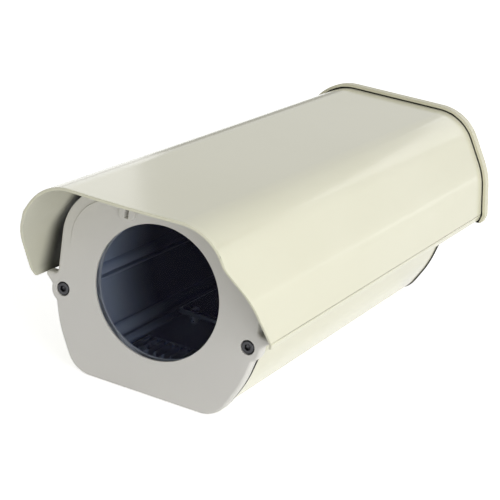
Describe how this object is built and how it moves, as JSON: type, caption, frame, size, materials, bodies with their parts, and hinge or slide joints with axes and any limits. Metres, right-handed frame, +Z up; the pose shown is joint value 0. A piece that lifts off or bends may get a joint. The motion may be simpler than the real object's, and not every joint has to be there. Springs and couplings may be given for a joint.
{
  "type": "security camera housing",
  "caption": "Outdoor security camera housing: extruded body with a round window, cable glands, inner camera tray and a swept sunshield on top.",
  "frame": {"origin": "middle of the bracket holes, on the flat underside of the body", "axes": "X across, Y from the window to the rear, Z up"},
  "size_m": [0.1832, 0.4471, 0.1439],
  "materials": {
    "ivory_paint": "semi-gloss powder coat, ivory",
    "ivory_plastic": "moulded plastic, satin ivory",
    "black_steel": "black oxide steel",
    "stainless_steel": "stainless steel, turned",
    "black_rubber": "black EPDM rubber",
    "window_pane": "clear float glass",
    "black_anodised": "black anodised aluminium",
    "bare_aluminium": "bare sheet aluminium",
    "extruded_aluminium": "bare extruded aluminium",
    "black_nylon": "moulded black nylon",
    "zinc_plated_steel": "zinc plated steel",
    "brass": "turned brass"
  },
  "bodies": {
    "housing": {"body_shell": "ivory_paint", "front_cover": "ivory_paint", "front_cover_screws": "black_steel", "front_gasket": "black_rubber", "window_glass": "window_pane", "window_seal": "black_rubber", "window_ring": "black_anodised", "window_ring_screws": "zinc_plated_steel", "rear_cover": "ivory_paint", "rear_cover_screws": "stainless_steel", "rear_gasket": "black_rubber", "gland_body_left": "black_nylon", "gland_body_centre": "black_nylon", "gland_body_right": "black_nylon", "gland_seals": "black_rubber", "gland_washers": "black_rubber", "gland_locknuts": "black_nylon", "sunshield": "ivory_paint", "shield_rear_cap": "ivory_plastic", "shield_lock_screws": "stainless_steel", "cap_screws": "stainless_steel", "heater": "extruded_aluminium", "heater_screws": "zinc_plated_steel"},
    "tray": {"tray": "bare_aluminium", "plate_standoffs": "zinc_plated_steel", "camera_plate": "bare_aluminium", "camera_pad": "black_rubber", "plate_screws": "zinc_plated_steel", "earth_screw": "brass"},
    "camera_washer": {"screw_washer": "zinc_plated_steel"},
    "camera_fixing": {"camera_screw": "zinc_plated_steel"},
    "nut_left": {"gland_nut_left": "black_nylon"},
    "nut_centre": {"gland_nut_centre": "black_nylon"},
    "nut_right": {"gland_nut_right": "black_nylon"}
  },
  "joints": [
    {"name": "tray_slide", "type": "slide", "parent": "housing", "child": "tray", "axis": [0, -1, 0], "range_m": [-0.035, 0.0115]},
    {"name": "washer_slide", "type": "slide", "parent": "tray", "child": "camera_washer", "axis": [0, 1, 0], "range_m": [-0.041, 0.041]},
    {"name": "camera_screw_turn", "type": "hinge", "parent": "camera_washer", "child": "camera_fixing", "pos_m": [0, 0.009, 0.013], "axis": [0, 0, 1], "continuous": true},
    {"name": "gland_nut_left_turn", "type": "hinge", "parent": "housing", "child": "nut_left", "pos_m": [-0.036, 0.18, 0.046], "axis": [0, 1, 0], "continuous": true},
    {"name": "gland_nut_centre_turn", "type": "hinge", "parent": "housing", "child": "nut_centre", "pos_m": [0, 0.18, 0.046], "axis": [0, 1, 0], "continuous": true},
    {"name": "gland_nut_right_turn", "type": "hinge", "parent": "housing", "child": "nut_right", "pos_m": [0.036, 0.18, 0.046], "axis": [0, 1, 0], "continuous": true}
  ]
}
